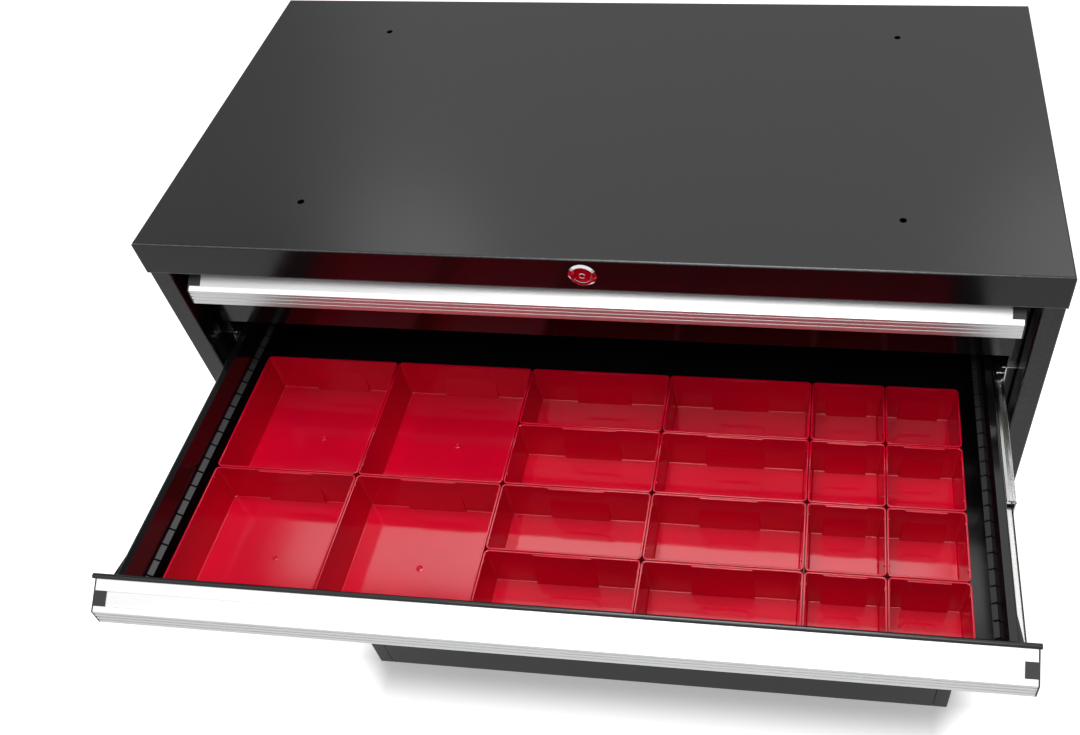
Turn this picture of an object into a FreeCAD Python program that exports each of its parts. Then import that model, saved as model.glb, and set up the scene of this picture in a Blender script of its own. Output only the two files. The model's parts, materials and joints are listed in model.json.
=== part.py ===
"""Tool cabinet: a folded sheet carcass with six drawers on telescopic slides, drawer 2 pulled out.

Frame: origin at the centre of the footprint on the floor, X to the right, Y to the back, Z up.
All sizes are in millimetres. Each piece is written to parts/NAME.step.
"""

import FreeCAD, Part
import math
import os

Vector = FreeCAD.Vector

# Carcass
cabinet_width = 900.0
cabinet_depth = 450.0
base_height = 73.0
shallow_pitch = 100.0
deep_pitch = 200.0
shallow_count = 4
deep_count = 2
body_sheet = 1.0
base_sheet = 1.5
bend = 1.0
post_face = 21.8
post_return = 24.8
post_hem = 10.0
back_flange = 20.0
top_flange = 15.0
plinth_gap = 0.3
base_floor_flange = 30.0
base_top_flange = 20.0
panel_flange = 22.0
back_rib_spacing = 440.0
back_rib_width = 30.0
back_rib_depth = 3.0

# Top cap
cap_sheet = 1.0
cap_lip = 39.0
cap_fit = 0.2
cap_corner = 2.0
cap_hem = 10.0
cap_hole_diameter = 7.0
cap_hole_spacing_x = 598.0
cap_hole_spacing_y = 310.0

# Uprights that carry the slides
upright_inset = 10.0
upright_sheet = 1.5
upright_width = 40.0
upright_setback = 32.8
upright_slot_pitch = 100.0
upright_slot_width = 4.0
upright_slot_height = 30.0

# Telescopic slides
slide_rear_room = 15.8
slide_height = 45.0
slide_thickness = 12.7
slide_sheet = 1.2
slide_front = 28.0
slide_drop = 46.0
slide_standoff = 3.3
slide_lip = 2.5
outer_depth = 9.5
middle_depth = 9.1
middle_gap = 0.7
middle_height = 33.0
inner_depth = 8.2
inner_height = 21.0
pad_length = 24.0
pad_height = 14.0
pad_count = 3

# Drawers
drawer_gap = 1.0
front_gap = 10.0
front_face = 25.5
front_sheet = 1.2
front_bottom_gap = 5.0
rim_diameter = 5.0
tray_sheet = 1.0
tray_rear_room = 4.3
tray_rim_drop = 7.0
tray_floor_drop = 89.5
rim_width = 8.8
rim_radius = 2.0
wall_lean = 2.2
ledge_drop = 34.0
ledge_height = 3.0
ledge_width = 4.6
skin_hem_drop = 78.0
skin_hem = 7.0
slot_pitch = 17.0
slot_width = 2.0
slot_first = 18.6
slot_last = 15.0
slot_overrun = 1.5
gusset_length = 37.0
gusset_width = 4.0
open_travel = 309.0
open_drawer = 2

# Handle profile, placed from the front of the cap and the top of the drawer
handle_wall = 1.8
handle_flange_height = 22.0
handle_top_y = 22.9
handle_top_drop = 5.1
handle_kink_y = -2.0
handle_kink_drop = 21.3
handle_lip_y = -3.0
handle_lip_drop = 38.3
label_start = 10.3
label_width = 14.0
label_depth = 1.5
label_thickness = 0.6
label_play = 0.3
groove_width = 1.2
groove_depth = 1.0
groove_first = 2.5
groove_pitch = 4.5
groove_count = 3
handle_end_gap = 1.0
handle_edge_radius = 0.8
end_cap_thickness = 1.5
end_cap_tab = 10.5

# Storage bins in the open drawer
bin_unit = 75.0
bin_gap = 1.2
bin_height = 48.0
bin_wall = 1.8
bin_floor = 1.5
bin_draft_degrees = 3.0
bin_corner = 2.5
bin_front_play = 0.3
bin_side_play = 6.6
large_columns = 2
large_units = 2
medium_units = 2
small_columns = 2

# Lock
lock_drop = 19.5
barrel_diameter = 22.0
barrel_length = 25.0
bezel_diameter = 27.5
bezel_thickness = 3.0
bezel_edge = 1.5
bezel_mouth_diameter = 20.0
plug_diameter = 16.0
plug_clearance = 0.1
plug_recess = 1.2
plug_tail = 2.0
keyhole_width = 1.6
keyhole_height = 6.5
keyhole_depth = 6.0
nut_across_flats = 27.0
nut_thickness = 4.0
shaft_diameter = 6.0
shaft_play = 0.1
crank_radius = 9.0
crank_thickness = 4.0
crank_width = 10.0
crank_gap = 1.0
peg_diameter = 5.0
peg_overhang = 1.5
bar_width = 26.0
bar_thickness = 3.0
bar_back_gap = 3.8
bar_tail = 30.0
window_play = 0.4
window_wall = 3.0
hook_width = 14.0
hook_reach = 9.0
hook_sheet = 2.0
hook_play = 2.0
hook_clearance = 1.5
catch_drop = 40.0
guide_drop = 10.0
guide_height = 20.0
guide_foot = 8.0
guide_sheet = 1.5
guide_play = 0.5
hanger_gap = 15.0
hanger_width = 24.0
hanger_reach = 28.0
hanger_flange = 12.0

# Places worked out from the sizes above, as distances behind the front of the cap and below its top
drawer_pitches = [shallow_pitch] * shallow_count + [deep_pitch] * deep_count
drawer_drops = [cap_lip + drawer_gap + sum(drawer_pitches[:index]) for index in range(len(drawer_pitches))]
cabinet_height = base_height + sum(drawer_pitches) + drawer_gap + cap_lip
body_half = cabinet_width / 2 - cap_sheet - cap_fit
body_front = cap_sheet + cap_fit
body_back = cabinet_depth - body_front
opening_half = body_half - post_face
cap_underside = cabinet_height - cap_sheet
body_top = cap_underside - body_sheet
panel_back = body_back - body_sheet
panel_front = panel_back - body_sheet
base_back = panel_front - back_rib_depth
post_back = body_front + post_return
upright_face = opening_half - upright_inset
front_half = opening_half - front_gap
front_back = front_face + front_sheet
tray_half = upright_face - slide_thickness - slide_standoff
handle_half = front_half - handle_end_gap - end_cap_thickness
tab_start = handle_half - end_cap_tab
bar_back = panel_front - bar_back_gap
bar_front = bar_back - bar_thickness
bar_middle = crank_radius / 2
lock_travel = crank_radius
crank_back = bar_front - crank_gap
hook_front = bar_front - hook_reach
hanger_setback = crank_back - crank_thickness - hanger_gap
slide_length = base_back - slide_rear_room - slide_front
tray_back = hook_front - tray_rear_room
tray_depth = tray_back - front_back
slot_count = int((tray_depth - slot_first - slot_last) // slot_pitch) + 1
rim_inner = tray_half - rim_width
ledge_outer = rim_inner - wall_lean
ledge_inner = ledge_outer - ledge_width
bin_left = bin_side_play - ledge_inner
bin_front = front_back + bin_front_play
bin_rows = large_units * int((tray_depth - bin_front_play) // (large_units * bin_unit))
units_across = int((2 * ledge_inner - bin_side_play) // bin_unit)
medium_columns = (units_across - large_columns * large_units - small_columns) // medium_units

# Sections are drawn as (u, v): "x" has u along Y and v up, "y" has u along X and v up, "z" is a plan
section_turn = {
    "x": FreeCAD.Rotation(Vector(1, 1, 1), 120),
    "y": FreeCAD.Rotation(Vector(1, 0, 0), 90),
    "z": FreeCAD.Rotation(Vector(0, 0, 1), 0),
}
axis_vector = {"x": Vector(1, 0, 0), "y": Vector(0, 1, 0), "z": Vector(0, 0, 1)}


def row_y(from_front):
    """Y of a place given as its distance behind the front of the cap."""
    return from_front - cabinet_depth / 2


def row_z(drop):
    """Z of a place given as its distance below the top of the cap."""
    return cabinet_height - drop


def section_point(from_front, drop):
    """Point of an "x" section given by its distances behind the front and below the top."""
    return Vector(row_y(from_front), row_z(drop), 0)


def block(x0, x1, y0, y1, z0, z1):
    """Box between two corners."""
    return Part.makeBox(x1 - x0, y1 - y0, z1 - z0, Vector(x0, y0, z0))


def rod(diameter, start, end):
    """Round bar between two points."""
    along = end - start
    return Part.makeCylinder(diameter / 2, along.Length, start, along)


def extrude(face, axis, start, end):
    """Sweep a section along an axis from one place on that axis to another."""
    placed = face.copy()
    placed.Placement = FreeCAD.Placement(axis_vector[axis] * start, section_turn[axis])
    return placed.extrude(axis_vector[axis] * (end - start))


def left_of(direction):
    """Unit vector to the left of a direction in a section."""
    return Vector(-direction.y, direction.x, 0).normalize()


def crossing(start, along, other_start, other_along):
    """Point where two lines of a section meet."""
    reach = (other_start - start).cross(other_along).z / along.cross(other_along).z
    return start + along * reach


def outline(points):
    """Face bounded by a loop of (u, v) points or (u, v, corner radius) points."""
    spots = [Vector(point[0], point[1], 0) for point in points]
    radii = [point[2] if len(point) > 2 else 0 for point in points]
    edges = []
    ends = []
    for index, spot in enumerate(spots):
        radius = radii[index]
        if radius == 0:
            ends.append((spot, spot))
            continue
        before = (spots[index - 1] - spot).normalize()
        after = (spots[(index + 1) % len(spots)] - spot).normalize()
        half_angle = before.getAngle(after) / 2
        reach = radius / math.tan(half_angle)
        inward = (before + after).normalize()
        middle = spot + inward * (radius / math.sin(half_angle) - radius)
        begin = spot + before * reach
        finish = spot + after * reach
        edges.append(Part.Arc(begin, middle, finish).toShape())
        ends.append((begin, finish))
    for index in range(len(spots)):
        edges.append(Part.LineSegment(ends[index - 1][1], ends[index][0]).toShape())
    return Part.Face(Part.Wire(Part.__sortEdges__(edges)))


def folded(path, sheet):
    """Section of a folded sheet along (u, v, inner bend radius) points; the sheet lies to the left."""
    spots = [Vector(u, v, 0) for u, v, _ in path]
    heads = [(after - before).normalize() for before, after in zip(spots, spots[1:])]
    near = []
    far = []
    for index, spot in enumerate(spots):
        head_in = heads[max(index - 1, 0)]
        head_out = heads[min(index, len(heads) - 1)]
        mitre = left_of(head_in) + left_of(head_out)
        corner = spot + mitre * (sheet / (1 + left_of(head_in).dot(left_of(head_out))))
        inner = path[index][2]
        outer = inner + sheet if inner > 0 else 0
        turns_left = head_in.cross(head_out).z > 0
        near.append((spot.x, spot.y, outer if turns_left else inner))
        far.append((corner.x, corner.y, inner if turns_left else outer))
    return outline(near + far[::-1])


def mirrored(shape):
    """The same piece on the other side of the cabinet."""
    return shape.mirror(Vector(0, 0, 0), Vector(1, 0, 0))


def both_sides(shape):
    """A right-hand piece and its left-hand copy, as separate solids."""
    return Part.makeCompound(shape.Solids + mirrored(shape).Solids)


def one_solid(shapes):
    """Join shapes that belong to one piece."""
    return shapes[0].multiFuse(shapes[1:]).removeSplitter().Solids[0]


def moved(shape, x=0.0, y=0.0, z=0.0):
    """Copy of a shape at another place."""
    copy = shape.copy()
    copy.translate(Vector(x, y, z))
    return copy


def top_cap():
    """Lid folded down on four sides, with a hem behind its front lip."""
    bottom = row_z(cap_lip)
    half = cabinet_width / 2
    outer = block(-half, half, row_y(0), row_y(cabinet_depth), bottom, row_z(0))
    outer = outer.makeFillet(cap_corner, [edge for edge in outer.Edges if edge.CenterOfMass.z > row_z(1)])
    half = half - cap_sheet
    inner = block(-half, half, row_y(cap_sheet), row_y(cabinet_depth - cap_sheet), bottom - 1, cap_underside)
    hem_half = opening_half - plinth_gap
    hem_back = row_y(cap_sheet + cap_hem)
    hem = block(-hem_half, hem_half, row_y(cap_sheet / 2), hem_back, bottom, bottom + cap_sheet)
    cap = one_solid([outer.cut(inner), hem])
    for x in (-cap_hole_spacing_x / 2, cap_hole_spacing_x / 2):
        for y in (-cap_hole_spacing_y / 2, cap_hole_spacing_y / 2):
            foot = Vector(x, y, cap_underside - 1)
            cap = cap.cut(rod(cap_hole_diameter, foot, Vector(x, y, row_z(0) + 1)))
    return cap.cut(rod(barrel_diameter, lock_point(-1), lock_point(cap_sheet + 1))).Solids[0]


def right_side():
    """Side panel folded into the corner post in front and a flange at the back."""
    path = [
        (opening_half + post_hem, row_y(post_back), 0),
        (opening_half, row_y(post_back), 0),
        (opening_half, row_y(body_front), bend),
        (body_half, row_y(body_front), bend),
        (body_half, row_y(body_back), 0),
        (body_half - back_flange, row_y(body_back), 0),
    ]
    wall = extrude(folded(path, body_sheet), "z", 0, body_top)
    ends = (row_y(upright_setback), row_y(body_back - back_flange))
    flange = block(body_half - top_flange, body_half, *ends, body_top, cap_underside)
    return one_solid([wall, flange])


def back_panel():
    """Back sheet with two pressed upright ribs."""
    half = body_half - body_sheet
    back = row_y(panel_back)
    path = [(half, back, 0)]
    for rib in (back_rib_spacing / 2, -back_rib_spacing / 2):
        crest = back_rib_width / 2 - back_rib_depth
        path.append((rib + back_rib_width / 2, back, 0))
        path.append((rib + crest, back - back_rib_depth, 0))
        path.append((rib - crest, back - back_rib_depth, 0))
        path.append((rib - back_rib_width / 2, back, 0))
    path.append((-half, back, 0))
    return extrude(folded(path, body_sheet), "z", body_sheet, body_top)


def base_frame():
    """Welded ring of folded channel; its front is the plinth between the posts."""
    half = opening_half - plinth_gap
    front = row_y(body_front)
    back = row_y(base_back)
    top = base_height - body_sheet
    wall = base_sheet
    ring = block(-half, half, front, back, 0, top)
    hollow = block(-half + wall, half - wall, front + wall, back - wall, wall, top - wall)
    low = base_floor_flange
    floor_hole = block(-half + low, half - low, front + low, back - low, -1, wall + 1)
    high = base_top_flange
    top_hole = block(-half + high, half - high, front + high, back - high, top - wall - 1, top + 1)
    return ring.cut(hollow).cut(floor_hole).cut(top_hole).Solids[0]


def base_panel():
    """Sheet floor of the cabinet, folded down along both sides."""
    under = base_height - body_sheet
    wide = body_half - body_sheet
    behind_post = row_y(post_back + plinth_gap)
    sheet = block(-wide, wide, behind_post, row_y(base_back), under, base_height)
    tongue_half = opening_half - plinth_gap
    tongue = block(-tongue_half, tongue_half, row_y(body_front), behind_post, under, base_height)
    fold_foot = base_height - panel_flange
    fold = block(wide - body_sheet, wide, behind_post, row_y(base_back), fold_foot, base_height)
    return one_solid([sheet, tongue, fold, mirrored(fold)])


def slide_uprights():
    """Four slotted channels that stand on the base panel and carry the slides."""
    outside = body_half - body_sheet
    front = row_y(upright_setback)
    back = front + upright_width
    path = [
        (outside, back, 0),
        (upright_face, back, 0),
        (upright_face, front, 0),
        (outside, front, 0),
    ]
    channel = extrude(folded(path, upright_sheet), "z", base_height, body_top)
    slot_front = (front + back - upright_slot_width) / 2
    slot_back = slot_front + upright_slot_width
    slots = []
    low = base_height + upright_slot_pitch / 2
    while low + upright_slot_height < body_top:
        high = low + upright_slot_height
        slots.append(block(upright_face - 1, outside, slot_front, slot_back, low, high))
        low += upright_slot_pitch
    channel = channel.cut(Part.makeCompound(slots))
    rear_shift = slide_front + slide_length - upright_setback - upright_width
    return both_sides(Part.makeCompound([channel, moved(channel, y=rear_shift)]))


def slide_member(web, mouth, height, lip):
    """Right-hand slide member: a channel from its web to its mouth, with lips when they have a height."""
    reach = height / 2
    path = [(mouth, -reach, 0), (web, -reach, 0), (web, reach, 0), (mouth, reach, 0)]
    if web < mouth:
        path.reverse()
    if lip > 0:
        path = [(mouth, lip - reach, 0)] + path + [(mouth, reach - lip, 0)]
    return extrude(folded(path, slide_sheet), "y", row_y(slide_front), row_y(slide_front + slide_length))


def slide_level(drop):
    """Height of the middle of a drawer's slides."""
    return row_z(drop + slide_drop)


def slide_outer_members():
    """Two fixed outer members for each drawer, hooked to the uprights."""
    member = slide_member(upright_face, upright_face - outer_depth, slide_height, slide_lip)
    pair = both_sides(member)
    pairs = [moved(pair, z=slide_level(drop)) for drop in drawer_drops]
    return Part.makeCompound([solid for pair in pairs for solid in pair.Solids])


def middle_slides():
    """Middle members of one drawer, drawn at height zero."""
    web = upright_face - slide_sheet - middle_gap
    return both_sides(slide_member(web, web - middle_depth, middle_height, 0))


def inner_slides():
    """Inner members of one drawer with the pads that stand them off the tray, drawn at height zero."""
    web = tray_half + slide_standoff
    shapes = [slide_member(web, web + inner_depth, inner_height, 0)]
    reach = pad_height / 2
    for index in range(pad_count):
        centre = slide_front + slide_length * (index + 0.5) / pad_count
        pad_front = row_y(centre - pad_length / 2)
        shapes.append(block(tray_half, web, pad_front, pad_front + pad_length, -reach, reach))
    return both_sides(one_solid(shapes))


def tray(drop, pitch, slotted):
    """Drawer tray: one folded sheet with rims, ledges and hollow sides, and a back wall."""
    rim = row_z(drop + tray_rim_drop)
    floor = tray_floor(drop, pitch)
    ledge_top = row_z(drop + ledge_drop)
    half_path = [
        (tray_half - skin_hem, row_z(drop + skin_hem_drop), 0),
        (tray_half, row_z(drop + skin_hem_drop), 0),
        (tray_half, rim, rim_radius),
        (rim_inner, rim, 0),
        (ledge_outer, ledge_top, 0),
        (ledge_inner, ledge_top - ledge_height, 0),
        (ledge_inner, floor, 0),
    ]
    path = half_path + [(-u, v, radius) for u, v, radius in reversed(half_path)]
    body = extrude(folded(path, tray_sheet), "y", row_y(front_back), row_y(tray_back))
    if slotted:
        slots = divider_slots(ledge_top)
        body = body.cut(Part.makeCompound([slots, mirrored(slots)]))
    wall_half = tray_half - tray_sheet
    wall_foot = floor - tray_sheet
    wall_front = row_y(tray_back - tray_sheet)
    back_wall = block(-wall_half, wall_half, wall_front, row_y(tray_back), wall_foot, rim - tray_sheet)
    flange_back = row_y(front_back + tray_sheet)
    flange_foot = row_z(drop + pitch - front_bottom_gap)
    flange = block(-ledge_inner, ledge_inner, row_y(front_back), flange_back, flange_foot, floor - tray_sheet)
    folded_sheet = one_solid([body, back_wall, flange, gusset(rim), mirrored(gusset(rim))])
    return Part.makeCompound([folded_sheet, catch_tab(drop)])


def divider_slots(ledge_top):
    """Cutters for the row of narrow slots along the right-hand ledge."""
    low = ledge_top - ledge_height - slot_overrun
    high = ledge_top + slot_overrun
    slots = []
    for index in range(slot_count):
        near = row_y(front_back + slot_first + slot_pitch * index) - slot_width / 2
        slots.append(block(ledge_inner - 1, rim_inner, near, near + slot_width, low, high))
    return Part.makeCompound(slots)


def tray_floor(drop, pitch):
    """Height of a tray's floor."""
    return row_z(drop + pitch - shallow_pitch + tray_floor_drop)


def gusset(rim):
    """Flat corner piece that widens the right-hand side of a tray to its front."""
    inside = tray_half - tray_sheet
    plan = [
        (inside, row_y(front_back)),
        (tray_half + gusset_width, row_y(front_back)),
        (inside, row_y(front_back + gusset_length)),
    ]
    top = rim - rim_radius - tray_sheet
    return extrude(outline(plan), "z", top - tray_sheet, top)


def catch_tab(drop):
    """Hooked tab on the back of a tray that the locking bar holds."""
    under = row_z(drop + catch_drop) - hook_sheet
    tip = row_y(hook_front + 2 * hook_sheet + hook_play)
    path = [
        (tip, under - lock_travel, 0),
        (tip, under + hook_sheet, 0),
        (row_y(tray_back), under + hook_sheet, 0),
    ]
    half = hook_width / 2
    return extrude(folded(path, hook_sheet), "x", bar_middle - half, bar_middle + half)


def front(drop, pitch):
    """Drawer front: a plate whose top edge is rolled into a round rim."""
    radius = rim_diameter / 2
    centre = section_point(front_back - radius, drop + radius)
    back_foot = section_point(front_back, drop + pitch - front_bottom_gap)
    face_foot = section_point(front_face, drop + pitch - front_bottom_gap)
    side = front_face - front_back + radius
    seam = centre + Vector(side, -math.sqrt(radius**2 - side**2), 0)
    edges = [
        Part.LineSegment(back_foot, centre + Vector(radius, 0, 0)),
        Part.Arc(centre + Vector(radius, 0, 0), centre - Vector(radius, 0, 0), seam),
        Part.LineSegment(seam, face_foot),
        Part.LineSegment(face_foot, back_foot),
    ]
    section = Part.Face(Part.Wire([edge.toShape() for edge in edges]))
    return extrude(section, "x", -front_half, front_half)


class HandleSection:
    """Lines of the handle's section for a drawer, as points behind the plate's face."""

    def __init__(self, drop):
        self.face = row_y(front_face)
        self.top = section_point(handle_top_y, drop + handle_top_drop)
        self.kink = section_point(handle_kink_y, drop + handle_kink_drop)
        self.lip = section_point(handle_lip_y, drop + handle_lip_drop)
        self.down_slope = (self.kink - self.top).normalize()
        self.down_lip = (self.lip - self.kink).normalize()

    def on_slope(self, along, depth):
        """Point on the slope, from its top edge and below its surface."""
        return self.top + self.down_slope * along + left_of(self.down_slope) * depth

    def on_lip(self, along, depth):
        """Point on the lip, from the kink and behind its surface."""
        return self.kink + self.down_lip * along + left_of(self.down_lip) * depth

    def lip_inside(self):
        """Inner edge of the lip's lower end."""
        return self.lip + left_of(self.down_lip) * handle_wall

    def flange_foot(self):
        """Lower edge of the flange on the plate's face."""
        return Vector(self.face, self.top.y - handle_flange_height, 0)


def flat_points(vectors, radius=0):
    """Loop points, with one corner radius, from section vectors."""
    return [(vector.x, vector.y, radius) for vector in vectors]


def handle(drop):
    """Handle profile: a flange on the plate, a slope with a label channel, and a grooved lip."""
    lines = HandleSection(drop)
    label_end = label_start + label_width
    under = label_depth + handle_wall
    points = flat_points([Vector(lines.face, lines.top.y, 0), lines.top])
    points += flat_points([lines.on_slope(label_start, 0), lines.on_slope(label_start, label_depth)])
    points += flat_points([lines.on_slope(label_end, label_depth), lines.on_slope(label_end, 0)])
    points += flat_points([lines.kink], handle_edge_radius)
    for index in range(groove_count):
        near = groove_first + groove_pitch * index
        far = near + groove_width
        points += flat_points([lines.on_lip(near, 0), lines.on_lip(near, groove_depth)])
        points += flat_points([lines.on_lip(far, groove_depth), lines.on_lip(far, 0)])
    points += flat_points([lines.lip, lines.lip_inside()])
    under_start = lines.on_slope(0, under)
    flange_foot = lines.flange_foot() - Vector(handle_wall, 0, 0)
    corner = crossing(under_start, lines.down_slope, lines.lip_inside(), lines.down_lip)
    root = crossing(under_start, lines.down_slope, flange_foot, Vector(0, 1, 0))
    points += flat_points([corner, root, flange_foot, lines.flange_foot()])
    return extrude(outline(points), "x", -handle_half, handle_half)


def end_caps(drop):
    """Two plastic caps that close the ends of the handle and plug its label channel."""
    lines = HandleSection(drop)
    label_end = label_start + label_width
    side = flat_points([Vector(lines.face, lines.top.y, 0), lines.top])
    side += flat_points([lines.kink], handle_edge_radius)
    side += flat_points([lines.lip, lines.lip_inside(), lines.flange_foot()])
    plate = extrude(outline(side), "x", handle_half, handle_half + end_cap_thickness)
    tab = flat_points([lines.on_slope(label_start, 0), lines.on_slope(label_start, label_depth)])
    tab += flat_points([lines.on_slope(label_end, label_depth), lines.on_slope(label_end, 0)])
    return both_sides(one_solid([plate, extrude(outline(tab), "x", tab_start, handle_half)]))


def label_strip(drop):
    """Printed strip that lies in the handle's channel between the end caps' tabs."""
    lines = HandleSection(drop)
    start = label_start + label_play
    end = label_start + label_width - label_play
    top = label_depth - label_thickness
    section = flat_points([lines.on_slope(start, top), lines.on_slope(start, label_depth)])
    section += flat_points([lines.on_slope(end, label_depth), lines.on_slope(end, top)])
    half = tab_start - label_play
    return extrude(outline(section), "x", -half, half)


def drafted_span(axis, near, far, start, end, low, high, full):
    """Block whose two sides draw in below the height where they have their full distance."""
    slope = math.tan(math.radians(bin_draft_degrees))
    bottom = (full - low) * slope
    top = (full - high) * slope
    section = [(near + bottom, low), (far - bottom, low), (far - top, high), (near + top, high)]
    return extrude(outline(section), axis, start, end)


def drafted_block(x0, x1, y0, y1, low, high, full):
    """Block whose four sides draw in below the height where it has its full size."""
    lengthwise = drafted_span("y", x0, x1, y0, y1, low, high, full)
    return lengthwise.common(drafted_span("x", y0, y1, x0, x1, low, high, full)).Solids[0]


def upright_edges(solid):
    """Edges that run from the bottom of a solid to its top."""
    return [edge for edge in solid.Edges if abs(edge.Vertexes[0].Z - edge.Vertexes[1].Z) > 1]


def storage_bin(column, row, wide, deep, floor):
    """Open plastic bin that covers the given units of the grid."""
    margin = bin_gap / 2
    x0 = bin_left + column * bin_unit + margin
    x1 = x0 + wide * bin_unit - bin_gap
    y0 = row_y(bin_front) + row * bin_unit + margin
    y1 = y0 + deep * bin_unit - bin_gap
    rim = floor + bin_height
    outside = drafted_block(x0, x1, y0, y1, floor, rim, rim)
    outside = outside.makeChamfer(bin_corner, upright_edges(outside))
    inner = [x0 + bin_wall, x1 - bin_wall, y0 + bin_wall, y1 - bin_wall]
    return outside.cut(drafted_block(*inner, floor + bin_floor, rim + 1, rim)).Solids[0]


def bin_block(first_column, columns, wide, deep):
    """All bins of one size, in their columns from the front to the back."""
    floor = tray_floor(drawer_drops[open_drawer - 1], shallow_pitch)
    bins = []
    for column in range(columns):
        for row in range(0, bin_rows, deep):
            bins.append(storage_bin(first_column + column * wide, row, wide, deep, floor))
    return Part.makeCompound(bins)


def lock_point(from_front):
    """Point on the axis of the lock."""
    return Vector(0, row_y(from_front), row_z(lock_drop))


def turned(section):
    """Solid of revolution about the lock's axis from (distance behind the front, radius) points."""
    points = [(row_y(point[0]), row_z(lock_drop) + point[1]) + tuple(point[2:]) for point in section]
    face = outline(points)
    face.Placement = FreeCAD.Placement(Vector(0, 0, 0), section_turn["x"])
    return face.revolve(lock_point(0), Vector(0, 1, 0), 360)


def lock_barrel():
    """Fixed housing of the lock with a bezel on the front of the cap's lip."""
    bore = plug_diameter / 2 + plug_clearance
    return turned(
        [
            (-bezel_thickness, bezel_mouth_diameter / 2),
            (-plug_recess, bore),
            (barrel_length, bore),
            (barrel_length, barrel_diameter / 2),
            (0, barrel_diameter / 2),
            (0, bezel_diameter / 2),
            (-bezel_thickness, bezel_diameter / 2 - bezel_edge),
        ]
    )


def lock_nut():
    """Hexagonal nut that clamps the barrel behind the lip."""
    corner_radius = nut_across_flats / math.sqrt(3)
    corners = []
    for index in range(6):
        angle = math.radians(60 * index)
        corners.append((corner_radius * math.cos(angle), row_z(lock_drop) + corner_radius * math.sin(angle)))
    nut = extrude(outline(corners), "y", row_y(cap_sheet), row_y(cap_sheet + nut_thickness))
    return nut.cut(rod(barrel_diameter, lock_point(0), lock_point(barrel_length)))


def lock_plug():
    """Turning plug with a keyhole."""
    plug = rod(plug_diameter, lock_point(-plug_recess), lock_point(barrel_length + plug_tail))
    level = row_z(lock_drop)
    width = keyhole_width / 2
    height = keyhole_height / 2
    front_y = row_y(-plug_recess)
    keyhole = block(-width, width, front_y - 1, front_y + keyhole_depth, level - height, level + height)
    return plug.cut(keyhole)


def lock_shaft():
    """Shaft from the plug to the crank."""
    return rod(shaft_diameter, lock_point(barrel_length + plug_tail), lock_point(crank_back))


def lock_crank():
    """Arm on the shaft with a peg that reaches through the bar's window."""
    level = row_z(lock_drop)
    reach = crank_width / 2
    plate_front = row_y(crank_back - crank_thickness)
    plate = block(-reach, crank_radius + reach, plate_front, row_y(crank_back), level - reach, level + reach)
    peg_start = Vector(crank_radius, row_y(crank_back - crank_thickness / 2), level)
    peg = rod(peg_diameter, peg_start, Vector(crank_radius, row_y(bar_back + peg_overhang), level))
    hub = rod(shaft_diameter, lock_point(crank_back - crank_thickness), lock_point(crank_back))
    return one_solid([plate.cut(hub), peg])


def lock_bar():
    """Upright bar at the back with a window for the crank's peg and a hook for each drawer."""
    level = row_z(lock_drop)
    lead_angle = math.acos(2 / math.pi)
    peg_lead = crank_radius * (math.sin(lead_angle) - lead_angle * 2 / math.pi)
    peg_reach = peg_diameter / 2 + window_play
    window_top = level + peg_reach + peg_lead
    left = bar_middle - bar_width / 2
    right = bar_middle + bar_width / 2
    foot = catch_end(drawer_drops[-1]) - hook_clearance - lock_travel - bar_tail
    bar = block(left, right, row_y(bar_front), row_y(bar_back), foot, window_top + window_wall)
    window_front = row_y(bar_front - 1)
    window_back = row_y(bar_back + 1)
    far = crank_radius + peg_reach
    bar = bar.cut(block(-peg_reach, far, window_front, window_back, level - peg_reach, window_top))
    solids = bar.Solids
    for drop in drawer_drops:
        tip = catch_end(drop) - hook_clearance
        base = tip - lock_travel - hook_sheet
        hook_y = row_y(hook_front)
        path = [(hook_y, tip, 0), (hook_y, base, 0), (row_y(bar_front), base, 0)]
        half = hook_width / 2
        solids.append(extrude(folded(path, hook_sheet), "x", bar_middle - half, bar_middle + half))
    return Part.makeCompound(solids)


def catch_end(drop):
    """Lower end of the catch on a drawer's tray."""
    return row_z(drop + catch_drop) - hook_sheet - lock_travel


def lock_guides():
    """Two brackets that guide the locking bar and a hanger that carries the rear end of the shaft."""
    left = bar_middle - bar_width / 2 - guide_play
    right = bar_middle + bar_width / 2 + guide_play
    inside = row_y(bar_front - guide_play)
    panel = row_y(panel_front)
    path = [
        (right + guide_foot, panel, 0),
        (right, panel, 0),
        (right, inside, 0),
        (left, inside, 0),
        (left, panel, 0),
        (left - guide_foot, panel, 0),
    ]
    section = folded(path, guide_sheet)
    solids = []
    for drop in (drawer_drops[1], drawer_drops[-1] - shallow_pitch / 2):
        centre = row_z(drop + guide_drop)
        solids.append(extrude(section, "z", centre - guide_height / 2, centre + guide_height / 2))
    hanger_path = [
        (row_y(hanger_setback - hanger_flange), cap_underside, 0),
        (row_y(hanger_setback), cap_underside, 0),
        (row_y(hanger_setback), cap_underside - hanger_reach, 0),
    ]
    hanger_path.reverse()
    hanger = extrude(folded(hanger_path, guide_sheet), "x", -hanger_width / 2, hanger_width / 2)
    bore = shaft_diameter + 2 * shaft_play
    hole = rod(bore, lock_point(hanger_setback - guide_sheet - 1), lock_point(hanger_setback + guide_sheet))
    solids.append(hanger.cut(hole).Solids[0])
    return Part.makeCompound(solids)


def write(name, shape):
    """Write one piece to its STEP file."""
    shape.exportStep(f"parts/{name}.step")


def write_cabinet():
    """Write the fixed pieces."""
    side = right_side()
    write("top_cap", top_cap())
    write("right_side", side)
    write("left_side", mirrored(side))
    write("back_panel", back_panel())
    write("base_frame", base_frame())
    write("base_panel", base_panel())
    write("slide_uprights", slide_uprights())
    write("slide_outer_members", slide_outer_members())


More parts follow.
